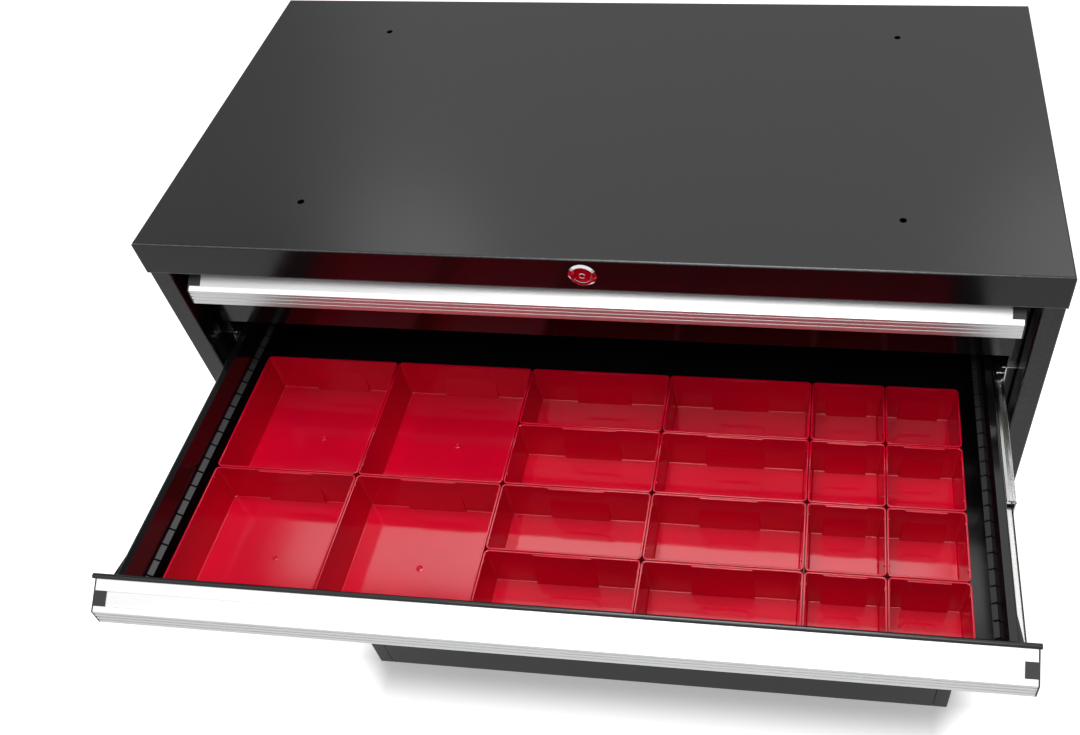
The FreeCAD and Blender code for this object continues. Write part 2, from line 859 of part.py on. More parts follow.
def write_drawers():
    """Write the pieces of each drawer; the open drawer stands pulled out."""
    middle = middle_slides()
    inner = inner_slides()
    for number, (drop, pitch) in enumerate(zip(drawer_drops, drawer_pitches), start=1):
        out = -open_travel if number == open_drawer else 0.0
        level = slide_level(drop)
        write(f"drawer_{number}_tray", moved(tray(drop, pitch, number == open_drawer), y=out))
        write(f"drawer_{number}_front", moved(front(drop, pitch), y=out))
        write(f"drawer_{number}_handle", moved(handle(drop), y=out))
        write(f"drawer_{number}_end_caps", moved(end_caps(drop), y=out))
        write(f"drawer_{number}_label_strip", moved(label_strip(drop), y=out))
        write(f"drawer_{number}_inner_slides", moved(inner, y=out, z=level))
        write(f"drawer_{number}_middle_slides", moved(middle, y=out / 2, z=level))


def write_bins():
    """Write the bins that stand in the open drawer."""
    medium_start = large_columns * large_units
    small_start = medium_start + medium_columns * medium_units
    write("large_bins", moved(bin_block(0, large_columns, large_units, large_units), y=-open_travel))
    write("medium_bins", moved(bin_block(medium_start, medium_columns, medium_units, 1), y=-open_travel))
    write("small_bins", moved(bin_block(small_start, small_columns, 1, 1), y=-open_travel))


def write_lock():
    """Write the lock and its locking bar, unlocked."""
    write("lock_barrel", lock_barrel())
    write("lock_nut", lock_nut())
    write("lock_plug", lock_plug())
    write("lock_shaft", lock_shaft())
    write("lock_crank", lock_crank())
    write("lock_bar", lock_bar())
    write("lock_guides", lock_guides())


os.makedirs("parts", exist_ok=True)
write_cabinet()
write_drawers()
write_bins()
write_lock()
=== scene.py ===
import json
import logging
import math
from dataclasses import dataclass
from enum import Enum
from typing import Any, Callable

import bmesh
import bpy
from mathutils import Matrix, Vector


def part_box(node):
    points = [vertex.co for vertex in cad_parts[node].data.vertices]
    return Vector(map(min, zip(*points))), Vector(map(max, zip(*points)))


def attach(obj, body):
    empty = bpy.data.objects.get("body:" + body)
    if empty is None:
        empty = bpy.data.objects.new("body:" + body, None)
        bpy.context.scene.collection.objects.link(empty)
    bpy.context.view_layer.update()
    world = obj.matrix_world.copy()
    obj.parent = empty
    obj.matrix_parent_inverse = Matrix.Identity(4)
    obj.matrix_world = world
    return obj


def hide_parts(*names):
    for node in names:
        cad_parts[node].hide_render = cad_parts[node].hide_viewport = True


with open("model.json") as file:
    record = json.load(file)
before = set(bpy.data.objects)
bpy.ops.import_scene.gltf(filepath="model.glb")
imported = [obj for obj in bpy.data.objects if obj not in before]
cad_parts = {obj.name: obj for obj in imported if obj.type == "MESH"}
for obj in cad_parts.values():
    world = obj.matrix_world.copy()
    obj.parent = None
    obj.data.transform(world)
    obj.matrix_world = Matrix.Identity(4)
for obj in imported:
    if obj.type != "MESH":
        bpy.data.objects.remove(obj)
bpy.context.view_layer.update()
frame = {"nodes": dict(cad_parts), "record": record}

log = logging.getLogger("cabinet")

Colour = tuple[float, float, float]
Point = tuple[float, float, float]
Box = tuple[Point, Point]
Piece = bpy.types.Object
# Start and end of a smooth step
Band = tuple[float, float]
# Cells per metre and detail of a noise
Grain = tuple[float, float]

OPEN_DRAWER = "drawer_2"


# Shader maths


class Signal:
    """An output socket of a node; arithmetic on signals adds Math nodes."""

    def __init__(self, board: "Board", socket: bpy.types.NodeSocket) -> None:
        """Wrap a socket of a board's node."""
        self.board = board
        self.socket = socket

    def out(self, name: str) -> "Signal":
        """Another output of the same node, by name."""
        return Signal(self.board, self.socket.node.outputs[name])

    def __add__(self, other: "Signal | float") -> "Signal":
        """Sum."""
        return self.board.maths("ADD", self, other)

    def __radd__(self, other: float) -> "Signal":
        """Sum with a number first."""
        return self.board.maths("ADD", other, self)

    def __sub__(self, other: "Signal | float") -> "Signal":
        """Difference."""
        return self.board.maths("SUBTRACT", self, other)

    def __rsub__(self, other: float) -> "Signal":
        """Difference with a number first."""
        return self.board.maths("SUBTRACT", other, self)

    def __mul__(self, other: "Signal | float") -> "Signal":
        """Product."""
        return self.board.maths("MULTIPLY", self, other)

    def size(self) -> "Signal":
        """Value without its sign."""
        return self.board.maths("ABSOLUTE", self, 0.0)

    def held(self, low: float, high: float) -> "Signal":
        """Value held between two limits."""
        return self.board.maths("MINIMUM", self.board.maths("MAXIMUM", self, low), high)

    def swing(self, width: float) -> "Signal":
        """A noise of 0 to 1 turned into a swing to both sides of zero, with the given width."""
        return (self - 0.5) * width

    def ramp(self, band: Band, face: float = 0.0) -> "Signal":
        """Smooth step from 0 at the band's start to 1 at its end.

        Args:
            band: Start and end of the step; it falls where the end is the lower one.
            face: Value from which the band is measured.

        Returns:
            The stepped signal.
        """
        limits = {"From Min": face + band[0], "From Max": face + band[1], "Value": self}
        return self.board.node("ShaderNodeMapRange", {"interpolation_type": "SMOOTHSTEP"}, limits)


class Board:
    """A node tree with one method that adds any node."""

    def __init__(self, tree: bpy.types.NodeTree) -> None:
        """Wrap a node tree."""
        self.tree = tree

    def node(self, kind: str, settings: dict[str, Any], inputs: dict[Any, Any]) -> Signal:
        """Add a node.

        Args:
            kind: The node's type.
            settings: Properties that are set first.
            inputs: Values or signals of its sockets, by name or number.

        Returns:
            The node's first output in use.
        """
        made = self.tree.nodes.new(kind)
        for key, value in settings.items():
            setattr(made, key, value)
        for key, value in inputs.items():
            self.feed(made.inputs[key], value)
        return Signal(self, next(socket for socket in made.outputs if socket.enabled))

    def feed(self, socket: bpy.types.NodeSocket, value: Any) -> None:
        """Link a signal to a socket, or set the socket's own value."""
        if isinstance(value, Signal):
            self.tree.links.new(value.socket, socket)
        elif socket.type == "RGBA" and len(value) == 3:
            socket.default_value = (*value, 1.0)
        else:
            socket.default_value = value

    def maths(self, operation: str, first: "Signal | float", second: "Signal | float") -> Signal:
        """Math node on two values."""
        return self.node("ShaderNodeMath", {"operation": operation}, {0: first, 1: second})

    def blend(self, share: "Signal | float", first: "Signal | Colour", second: "Signal | Colour") -> Signal:
        """Colour between two colours."""
        return self.node("ShaderNodeMix", {"data_type": "RGBA"}, {0: share, 6: first, 7: second})

    def split(self, vector: Signal) -> tuple[Signal, Signal, Signal]:
        """X, Y and Z of a vector."""
        parts = self.node("ShaderNodeSeparateXYZ", {}, {"Vector": vector})
        return parts, parts.out("Y"), parts.out("Z")

    def rays(self) -> tuple[Signal, Signal]:
        """Masks of the rays that arrive.

        Returns:
            1 for rays from the camera, also through clear things, and 1 for reflected rays.
        """
        path = self.node("ShaderNodeLightPath", {}, {})
        seen = (path + path.out("Is Transmission Ray")).held(0.0, 1.0)
        return seen, path.out("Is Glossy Ray")


class Shader(Board):
    """Material with one Principled surface that reads Object coordinates."""

    def __init__(self, name: str) -> None:
        """Start a material."""
        self.material = bpy.data.materials.new(name)
        self.material.use_nodes = True
        super().__init__(self.material.node_tree)
        self.surface = self.tree.nodes["Principled BSDF"]
        self.place = self.node("ShaderNodeTexCoord", {}, {}).out("Object")

    def set(self, **values: Any) -> None:
        """Set or link sockets of the surface; an underscore stands for a space."""
        for name, value in values.items():
            self.feed(self.surface.inputs[name.replace("_", " ")], value)

    def noise(self, cells: float | Point, detail: float) -> Signal:
        """Soft noise from 0 to 1.

        Args:
            cells: Cells per metre, one number for all axes or one for each.
            detail: How much finer noise it holds.

        Returns:
            The noise.
        """
        place = self.place
        if isinstance(cells, tuple):
            place = self.node("ShaderNodeMapping", {}, {"Vector": place, "Scale": cells})
            cells = 1.0
        return self.node("ShaderNodeTexNoise", {}, {"Vector": place, "Scale": cells, "Detail": detail})

    def relief(self, height: Signal, depth: float, strength: float, under: Signal | None) -> Signal:
        """Bump of a height from 0 to 1 over a depth in metres, on top of another relief if there is one."""
        inputs = {"Height": height, "Distance": depth, "Strength": strength}
        if under is not None:
            inputs["Normal"] = under
        return self.node("ShaderNodeBump", {}, inputs)


def shade(colour: Colour, factor: float) -> Colour:
    """A lighter or darker colour."""
    return tuple(min(1.0, value * factor) for value in colour)


# Finishes


@dataclass(frozen=True)
class Layer:
    """A noise pattern of a finish: its cells per metre and detail, and what it changes.

    A colour is mixed in over the band up to a share, the roughness and the film swing by a width, and
    the pattern stands up by a depth in metres.
    """

    cells: float | Point
    detail: float
    band: Band = (0.3, 0.7)
    colour: Colour | None = None
    share: float = 1.0
    roughness: float = 0.0
    film: float = 0.0
    depth: float = 0.0
    relief: float = 1.0


@dataclass(frozen=True)
class Surface:
    """A finish: a colour and a roughness that layers of noise change.

    The dark factor applies to the colour under the layers, the light one to a layer that brightens it.
    """

    name: str
    colour: Colour
    roughness: float
    dark: float = 1.0
    light: float = 1.0
    metal: float = 0.0
    coat: float = 0.0
    coat_roughness: float = 0.12
    ior: float = 1.5
    shine: float = 0.5
    smoothest: float = 0.03

    def layers(self) -> tuple[Layer, ...]:
        """The patterns, lowest first; each finish has its own."""
        raise NotImplementedError

    def painted_highlight_and_ledges(self, shader: Shader, colour: Signal, roughness: Signal) -> tuple[Signal, Signal]:
        """Colour and roughness after a painted highlight and lighter bands; here there are none."""
        return colour, roughness

    def material(self) -> bpy.types.Material:
        """Make the material: the layers in turn, then any painted highlight and lighter bands.

        Returns:
            The material.
        """
        shader = Shader(self.name)
        colour, roughness = shade(self.colour, self.dark), self.roughness
        film, normal = 0.0, None
        for layer in self.layers():
            pattern = shader.noise(layer.cells, layer.detail)
            if layer.colour:
                colour = shader.blend(pattern.ramp(layer.band) * layer.share, colour, layer.colour)
            if layer.roughness:
                roughness = roughness + pattern.swing(layer.roughness)
            if layer.film:
                film = pattern.swing(layer.film)
            if layer.depth:
                normal = shader.relief(pattern, layer.depth, layer.relief, normal)
        colour, roughness = self.painted_highlight_and_ledges(shader, colour, roughness)
        shader.set(Base_Color=colour, Roughness=roughness.held(self.smoothest, 1.0), Normal=normal)
        shader.set(Metallic=self.metal + film, IOR=self.ior, Specular_IOR_Level=self.shine)
        shader.set(Coat_Weight=self.coat + film, Coat_Roughness=self.coat_roughness)
        return shader.material


@dataclass(frozen=True)
class Paint(Surface):
    """Smooth powder coat on sheet steel, with a painted highlight along its folds and a lighter, duller
    band on ledges.
    """

    dark: float = 0.75
    light: float = 1.35
    peel: float = 0.3
    fold_box: Box | None = None
    # Painted highlight: a lighter, glossier line along the folds, stronger in spots
    fold_highlight_colour: Colour = (0.17, 0.17, 0.18)
    fold_width: float = 0.0016
    fold_band: Band = (1.0, 1.7)
    fold_shine: float = 0.06
    highlight_spots: Grain = (160.0, 3.0)
    highlight_spot_band: Band = (0.38, 0.62)
    highlight_least: float = 0.55
    ledge_box: Box | None = None
    # Lighter colour and more roughness along the drawer's divider ledges
    ledge_lighter_colour: Colour = (0.03, 0.03, 0.032)
    ledge_dulling: float = 0.2
    ledge_inside: Band = (-0.0048, -0.0044)
    ledge_outside: Band = (0.0002, -0.0002)
    ledge_foot: Band = (-0.0006, 0.0)
    ledge_top: Band = (0.0012, 0.0004)

    def layers(self) -> tuple[Layer, ...]:
        """Fine specks, wiped patches and orange peel."""
        specks = Layer(2600.0, 1.0, (0.35, 0.65), shade(self.colour, self.light), roughness=0.05)
        patches = Layer(5.0, 3.0, roughness=0.06)
        peel = Layer(420.0, 2.0, depth=0.00004, relief=self.peel)
        return specks, patches, peel

    def painted_highlight_and_ledges(self, shader: Shader, colour: Signal, roughness: Signal) -> tuple[Signal, Signal]:
        """Paint a highlight along the folds, stronger in spots, and make the ledges lighter and duller.

        Args:
            shader: The material's node tree.
            colour: The paint's colour.
            roughness: The paint's roughness.

        Returns:
            The colour and the roughness with the painted highlight and the lighter ledges.
        """
        if self.fold_box:
            # Painted highlight along the folds, varied in spots
            spots = shader.noise(*self.highlight_spots).ramp(self.highlight_spot_band) * (1.0 - self.highlight_least)
            thin = self.fold_highlight_mask(shader) * (self.highlight_least + spots)
            colour = shader.blend(thin, colour, self.fold_highlight_colour)
            roughness = roughness - thin * self.fold_shine
        if self.ledge_box:
            # Lighter, duller paint along the ledges
            lighter_ledge = self.ledge_mask(shader)
            colour = shader.blend(lighter_ledge, colour, self.ledge_lighter_colour)
            roughness = roughness + lighter_ledge * self.ledge_dulling
        return colour, roughness

    def fold_highlight_mask(self, shader: Shader) -> Signal:
        """Mask of the painted highlight along the outer folds of the box that the sheet wraps.

        Args:
            shader: The material's node tree.

        Returns:
            1 where two of the box's faces meet, 0 elsewhere.
        """
        near = 0.0
        for axis, start, end in zip(shader.split(shader.place), *self.fold_box):
            inset = (axis - (start + end) / 2).size() - ((end - start) / 2 - self.fold_width)
            near = inset.ramp((0.0, self.fold_width)) + near
        return near.ramp(self.fold_band)

    def ledge_mask(self, shader: Shader) -> Signal:
        """Mask of the divider ledges, where the paint is lighter and duller.

        Args:
            shader: The material's node tree.

        Returns:
            1 on the ledge along each side of the box, 0 elsewhere.
        """
        low, high = self.ledge_box
        across, _, up = shader.split(shader.place)
        aside = across.size()
        width = aside.ramp(self.ledge_inside, high[0]) * aside.ramp(self.ledge_outside, high[0])
        return width * (up.ramp(self.ledge_foot, low[2]) * up.ramp(self.ledge_top, high[2]))


@dataclass(frozen=True)
class Zinc(Surface):
    """Bright zinc plating on rolled steel."""

    name: str = "Bright zinc"
    colour: Colour = (0.66, 0.67, 0.68)
    warm: Colour = (0.60, 0.585, 0.545)
    dull: Colour = (0.42, 0.43, 0.44)
    roughness: float = 0.24
    metal: float = 1.0

    def layers(self) -> tuple[Layer, ...]:
        """Cloudy patches with a faint warm tint, and rolling lines along the slides."""
        clouds = Layer(38.0, 4.0, (0.35, 0.7), self.warm, roughness=0.1)
        cells = (900.0, 9.0, 900.0)
        lines = Layer(cells, 3.0, colour=self.dull, share=0.35, roughness=0.08, depth=0.00001, relief=0.4)
        return clouds, lines


@dataclass(frozen=True)
class Anodised(Surface):
    """Clear anodised aluminium extrusion with die lines along its length."""

    name: str = "Anodised aluminium"
    colour: Colour = (0.86, 0.865, 0.87)
    streaked: Colour = (0.82, 0.825, 0.835)
    roughness: float = 0.4
    metal: float = 1.0

    def layers(self) -> tuple[Layer, ...]:
        """Fine die lines along X, slight streaks and a matt skin."""
        lines = Layer((1.2, 2600.0, 2600.0), 2.0, roughness=0.12, depth=0.000012, relief=0.7)
        streaks = Layer((2.5, 260.0, 260.0), 2.0, (0.35, 0.75), self.streaked, share=0.22)
        skin = Layer(3200.0, 1.0, roughness=0.08)
        return lines, streaks, skin


@dataclass(frozen=True)
class Plastic(Surface):
    """Moulded plastic with a spark-eroded or polished skin."""

    dark: float = 0.93
    light: float = 1.04
    texture: float = 0.5
    waves: float = 0.0

    def layers(self) -> tuple[Layer, ...]:
        """Flow clouds, soft sink waves and the mould's texture."""
        flow = Layer(11.0, 3.0, colour=shade(self.colour, self.light), roughness=0.06)
        sink = Layer(16.0, 1.0, depth=0.0009, relief=self.waves)
        spark = Layer(1500.0, 3.0, roughness=self.texture * 0.3, depth=0.00003, relief=self.texture)
        return flow, sink, spark


@dataclass(frozen=True)
class Card(Surface):
    """Blank label card under a thin, uneven gloss film with a silvery sheen."""

    name: str = "Label card"
    colour: Colour = (0.93, 0.93, 0.935)
    fibrous: Colour = (0.86, 0.86, 0.865)
    mottled: Colour = (0.96, 0.96, 0.955)
    roughness: float = 0.42
    metal: float = 0.55
    coat: float = 0.5

    def layers(self) -> tuple[Layer, ...]:
        """Paper fibres and slight mottling."""
        cells = (500.0, 1800.0, 1800.0)
        fibres = Layer(cells, 3.0, colour=self.fibrous, share=0.3, roughness=0.1, depth=0.00002, relief=0.4)
        mottle = Layer(24.0, 2.0, (0.35, 0.75), self.mottled, share=0.2, film=0.1)
        return fibres, mottle


@dataclass(frozen=True)
class Plated(Surface):
    """Polished nickel-chrome plating."""

    name: str = "Chrome"
    colour: Colour = (0.82, 0.83, 0.84)
    wiped: Colour = (0.62, 0.63, 0.65)
    roughness: float = 0.07
    metal: float = 1.0

    def layers(self) -> tuple[Layer, ...]:
        """Faint wipe marks and a fine grain."""
        wipes = Layer(90.0, 4.0, (0.45, 0.8), self.wiped, share=0.3, roughness=0.06)
        grain = Layer(1900.0, 2.0, roughness=0.03, depth=0.000006, relief=0.5)
        return wipes, grain


class Finish(Enum):
    """The record's material slots and the finish that each one has."""

    CABINET = "cabinet_paint"
    DRAWER = "drawer_paint"
    ZINC = "zinc_steel"
    ALUMINIUM = "aluminium"
    CAPS = "black_plastic"
    LABEL = "label_card"
    BINS = "bin_plastic"
    CHROME = "chrome"


class Palette:
    """Makes each finish once and puts it on nodes and pieces."""

    ledge_inset: float = 0.015
    ledge_fall: float = 0.027
    ledge_drop: float = 0.003
    cabinet_black: Colour = (0.0048, 0.005, 0.0062)
    drawer_black: Colour = (0.0042, 0.0042, 0.005)
    plastic_black: Colour = (0.02, 0.02, 0.021)
    bin_red: Colour = (0.64, 0.0013, 0.024)

    def __init__(self, cap_box: Box) -> None:
        """Make every finish; the cap's box tells where its folds are."""
        ledges = self.ledge_box()
        finishes = {
            # The cap's box places the painted highlight along the cabinet paint's folds
            Finish.CABINET: Paint("Cabinet paint", self.cabinet_black, 0.17, peel=0.35, fold_box=cap_box),
            Finish.DRAWER: Paint("Drawer paint", self.drawer_black, 0.14, peel=0.3, ledge_box=ledges),
            Finish.ZINC: Zinc(),
            Finish.ALUMINIUM: Anodised(),
            Finish.CAPS: Plastic("Black moulding", self.plastic_black, 0.42, texture=0.5),
            Finish.LABEL: Card(),
            Finish.BINS: Plastic("Red moulding", self.bin_red, 0.11, texture=0.06, waves=0.1, shine=0.4),
            Finish.CHROME: Plated(),
        }
        self.materials = {finish: made.material() for finish, made in finishes.items()}

    def ledge_box(self) -> Box:
        """Box between the open drawer's two divider ledges, by their measures from its tray."""
        low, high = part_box(f"{OPEN_DRAWER}_tray")
        half = high[0] - self.ledge_inset
        top = high[2] - self.ledge_fall
        return (-half, low[1], top - self.ledge_drop), (half, high[1], top)

    def coat(self, piece: Piece, finish: Finish) -> None:
        """Give a piece one finish all over."""
        piece.data.materials.clear()
        piece.data.materials.append(self.materials[finish])

    def dress_nodes(self) -> None:
        """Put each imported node's finish in its object's material slots."""
        for part in frame["record"]["subparts"]:
            self.coat(frame["nodes"][part["node"]], Finish(part["material_slot"]))
            log.info("dressed %s", part["node"])

    def complete(self, piece: Piece, finish: Finish, body: str, node: str | None = None) -> None:
        """Coat a new piece and say what it belongs to.

        Args:
            piece: The piece.
            finish: Its finish.
            body: The body that it moves with.
            node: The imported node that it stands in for, if there is one.
        """
        self.coat(piece, finish)
        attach(piece, body)
        if node:
            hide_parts(node)
        log.info("modelled %s, which moves with %s", piece.name, body)


# Modelling

Test = Callable[[Vector, Vector], bool]

# Shares of a direction that lie along an axis
MOSTLY = 0.5
EXACTLY = 0.9
SLIGHTLY = 0.1
# Distance that counts as none
NEAR = 0.0001
# Edges that turn by less are shaded smooth
SMOOTH_ANGLE = math.radians(34)


class Pick(Enum):
    """What a selection in edit mode holds."""

    EDGES = "EDGE"
    FACES = "FACE"


class Axis(Enum):
    """The axes, by their place in a vector."""

    X = 0
    Y = 1
    Z = 2


def facing(axis: Axis, sign: int, least: float = MOSTLY) -> Test:
    """Test for faces that look along an axis, to its positive or negative side."""
    return lambda middle, normal: sign * normal[axis.value] > least


def running(axis: Axis) -> Test:
    """Test for edges that run along an axis."""
    return lambda middle, along: abs(along[axis.value]) > MOSTLY


def level_at(height: float) -> Test:
    """Test for level edges at a height."""
    return lambda middle, along: abs(middle.z - height) < NEAR and abs(along.z) < SLIGHTLY


def everything(middle: Vector, along: Vector) -> bool:
    """Test that every face and edge passes."""
    return True


def clear_selection() -> None:
    """Leave edit mode and deselect everything."""
    if bpy.context.object and bpy.context.object.mode != "OBJECT":
        bpy.ops.object.mode_set(mode="OBJECT")
    bpy.ops.object.select_all(action="DESELECT")


class Mould:
    """A mesh that is shaped in edit mode from a primitive."""

    def __init__(self, name: str) -> None:
        """Take the primitive that was just added, with its place in its mesh."""
        self.piece = bpy.context.object
        self.piece.name = name
        self.piece.data.name = name
        bpy.ops.object.transform_apply(location=True, rotation=True, scale=True)

    @classmethod
    def box(cls, name: str, low: Point, high: Point) -> "Mould":
        """Start from a box between two corners."""
        clear_selection()
        middle = [(start + end) / 2 for start, end in zip(low, high)]
        size = [end - start for start, end in zip(low, high)]
        bpy.ops.mesh.primitive_cube_add(size=1, location=middle, scale=size)
        return cls(name)

    @classmethod
    def rod(cls, name: str, radius: float, start: Point, end: Point, sides: int) -> "Mould":
        """Start from a round bar between two points."""
        clear_selection()
        along = Vector(end) - Vector(start)
        turn = along.to_track_quat("Z", "Y").to_euler()
        middle = (Vector(start) + Vector(end)) / 2
        bpy.ops.mesh.primitive_cylinder_add(
            vertices=sides, radius=radius, depth=along.length, location=middle, rotation=turn
        )
        return cls(name)

    def pick(self, kind: Pick, test: Test) -> "Mould":
        """Select faces or edges by their middle and their normal or direction.

        Args:
            kind: Faces or edges.
            test: Says whether one with this middle and direction is selected.

        Returns:
            The mould itself.
        """
        clear_selection()
        bpy.context.view_layer.objects.active = self.piece
        bpy.ops.object.mode_set(mode="EDIT")
        bpy.ops.mesh.select_mode(type=kind.value)
        bpy.ops.mesh.select_all(action="DESELECT")
        mesh = bmesh.from_edit_mesh(self.piece.data)
        for item in mesh.faces if kind is Pick.FACES else mesh.edges:
            if kind is Pick.FACES:
                middle, along = item.calc_center_median(), item.normal
            else:
                first, last = (vertex.co for vertex in item.verts)
                middle, along = (first + last) / 2, (last - first).normalized()
            item.select_set(bool(test(middle, along)))
        mesh.select_flush_mode()
        bmesh.update_edit_mesh(self.piece.data)
        return self

    def bevel(self, width: float, segments: int) -> "Mould":
        """Round the selected edges."""
        bpy.ops.mesh.bevel(offset=width, segments=segments, profile=0.5, affect="EDGES", clamp_overlap=True)
        return self

    def inset(self, width: float) -> "Mould":
        """Inset the selected faces as one region."""
        bpy.ops.mesh.inset(thickness=width, use_even_offset=True)
        return self

    def extrude(self, by: Point) -> "Mould":
        """Extrude the selection along a vector."""
        bpy.ops.mesh.extrude_region_move(TRANSFORM_OT_translate={"value": by})
        return self

    def resize(self, by: Point) -> "Mould":
        """Scale the selection about its own middle."""
        bpy.ops.transform.resize(value=by)
        return self

    def shift(self, by: Point) -> "Mould":
        """Move the selection."""
        bpy.ops.transform.translate(value=by)
        return self

    def add(self, others: list["Mould"]) -> "Mould":
        """Join other moulds into this one."""
        for other in others:
            other.done()
        self.done()
        for other in others:
            other.piece.select_set(True)
        self.piece.select_set(True)
        bpy.context.view_layer.objects.active = self.piece
        bpy.ops.object.join()
        return self

    def done(self) -> Piece:
        """Leave edit mode with smooth shading up to sharp edges; large faces stay flat.

        Returns:
            The finished object.
        """
        clear_selection()
        bpy.context.view_layer.objects.active = self.piece
        self.piece.select_set(True)
        bpy.ops.object.shade_smooth_by_angle(angle=SMOOTH_ANGLE)
        bpy.ops.object.modifier_add(type="WEIGHTED_NORMAL")
        weighted = self.piece.modifiers[-1]
        weighted.keep_sharp = True
        bpy.ops.object.modifier_apply(modifier=weighted.name)
        return self.piece


def copy_at(piece: Piece, name: str, by: Point) -> Piece:
    """Copy a piece with its own mesh, moved inside that mesh.

    Args:
        piece: The piece to copy.
        name: Name of the copy.
        by: How far the copy lies from the piece.

    Returns:
        The copy.
    """
    twin = bpy.data.objects.new(name, piece.data.copy())
    twin.data.name = name
    twin.data.transform(Matrix.Translation(by))
    bpy.context.scene.collection.objects.link(twin)
    return twin


# Storage bins


class BinSize(Enum):
    """Columns and rows of the grid that a bin covers."""

    LARGE = (2, 2)
    MEDIUM = (2, 1)
    SMALL = (1, 1)


@dataclass
class StorageBins:
    """The red bins that fill the open drawer, with label pockets, panels, nubs and gate marks."""

    palette: Palette
    unit: float = 0.075
    rows: int = 4
    columns_of_each: int = 2
    gap: float = 0.0006
    height: float = 0.048
    wall: float = 0.0018
    floor: float = 0.0015
    corner: float = 0.0045
    edge: float = 0.0003
    root: float = 0.0008
    inner_foot_round: float = 0.0012
    rim_round: float = 0.0006
    foot_round: float = 0.001
    draft: float = math.tan(math.radians(3.0))
    pocket_width: float = 0.056
    pocket_foot: float = 0.043
    pocket_depth: float = 0.0145
    pocket_bulge: float = 0.0014
    pocket_round: float = 0.0004
    panel_width: float = 0.06
    panel_bulge: float = 0.0022
    panel_round: float = 0.0006
    small_share: float = 0.7
    gate_radius: float = 0.0034
    gate_root: float = 0.0004
    gate_rise: float = 0.0005
    gate_slope: float = 0.0011
    gate_lift: float = 0.0003
    gate_step: float = 0.0007
    gate_tip: Point = (0.0002, 0.0, 0.0006)
    nub_place: float = 0.0125
    nub_size: float = 0.0009
    nub_foot: float = 0.0052
    nub_top: float = 0.0008

    def build(self) -> None:
        """Mould one bin of each size and set its copies in the grid, column by column from the left."""
        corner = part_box("large_bins")[0]
        left, front = (value - self.gap / 2 for value in corner[:2])
        start = 0
        for size in BinSize:
            wide, deep = size.value
            word = size.name.lower()
            model = self.mould(size)
            for column in range(self.columns_of_each):
                for row in range(0, self.rows, deep):
                    x = left + (start + column * wide) * self.unit
                    place = (x, front + row * self.unit, corner[2])
                    piece = copy_at(model, f"{word}_bin_{column}_{row}", place)
                    self.palette.complete(piece, Finish.BINS, OPEN_DRAWER, f"{word}_bins")
            bpy.data.objects.remove(model)
            start += self.columns_of_each * wide

    def mould(self, size: BinSize) -> Piece:
        """Mould one bin with its front left foot at the origin.

        Args:
            size: How much of the grid it covers.

        Returns:
            The bin.
        """
        wide, deep = (count * self.unit - self.gap for count in size.value)
        shell = Mould.box(f"model_{size.name.lower()}", (0, 0, 0), (wide, deep, self.height))
        shell.pick(Pick.FACES, facing(Axis.Z, -1))
        self.taper(shell, wide, deep, self.height)
        shell.pick(Pick.EDGES, running(Axis.Z)).bevel(self.corner, 6)
        shell.pick(Pick.FACES, facing(Axis.Z, 1))
        shell.inset(self.wall).extrude((0, 0, self.floor - self.height))
        self.taper(shell, wide - 2 * self.wall, deep - 2 * self.wall, self.height - self.floor)
        shell.pick(Pick.EDGES, level_at(self.floor)).bevel(self.inner_foot_round, 3)
        shell.pick(Pick.EDGES, level_at(self.height)).bevel(self.rim_round, 2)
        shell.pick(Pick.EDGES, level_at(0.0)).bevel(self.foot_round, 2)
        share = self.small_share if size is BinSize.SMALL else 1.0
        details = [make(wide / 2, deep - self.wall, share) for make in (self.pocket, self.panel)]
        if size is BinSize.LARGE:
            details.append(self.gate_mark(wide / 2, deep / 2))
        return shell.add(details + self.nubs(wide, deep)).done()

    def taper(self, shell: Mould, wide: float, deep: float, height: float) -> None:
        """Shrink the selected lower face by the mould's draft over a height."""
        fall = height * self.draft
        shell.resize((1 - 2 * fall / wide, 1 - 2 * fall / deep, 1))

    def pocket(self, middle: float, wall_face: float, share: float) -> Mould:
        """Label pocket: a shallow trapezoid that bulges in from the rear wall under the rim.

        Args:
            middle: X of the bin's middle.
            wall_face: Y of the wall's inner face at the rim.
            share: Its width as a share of the full width.

        Returns:
            The bulge.
        """
        half, foot = share * self.pocket_width / 2, share * self.pocket_foot / 2
        front = wall_face - self.pocket_bulge
        high = (middle + half, wall_face + self.root, self.height - self.rim_round)
        pocket = Mould.box("pocket", (middle - half, front, self.height - self.pocket_depth), high)
        pocket.pick(Pick.FACES, facing(Axis.Z, -1))
        pocket.resize((foot / half, 1, 1)).shift((0, -self.pocket_depth * self.draft, 0))
        pocket.pick(Pick.EDGES, lambda centre, along: centre.y < front + NEAR)
        return pocket.bevel(self.pocket_round, 2)

    def panel(self, middle: float, wall_face: float, share: float) -> Mould:
        """Panel under the pocket that leans in from the rear wall and meets the floor in a step.

        Args:
            middle: X of the bin's middle.
            wall_face: Y of the wall's inner face at the rim.
            share: Its width as a share of the full width.

        Returns:
            The panel.
        """
        half = share * self.panel_width / 2
        fall = (self.height - self.floor) * self.draft
        high = (middle + half, wall_face + self.wall / 2, self.height - self.pocket_depth)
        panel = Mould.box("panel", (middle - half, wall_face - self.edge, self.floor - self.edge), high)
        panel.pick(Pick.FACES, facing(Axis.Z, -1)).shift((0, -fall, 0))
        panel.pick(Pick.EDGES, lambda centre, along: centre.z < self.floor and centre.y < wall_face - fall)
        panel.shift((0, -self.panel_bulge, 0))
        panel.pick(Pick.EDGES, lambda centre, along: centre.y < wall_face and abs(along.z) > MOSTLY)
        return panel.bevel(self.panel_round, 2)

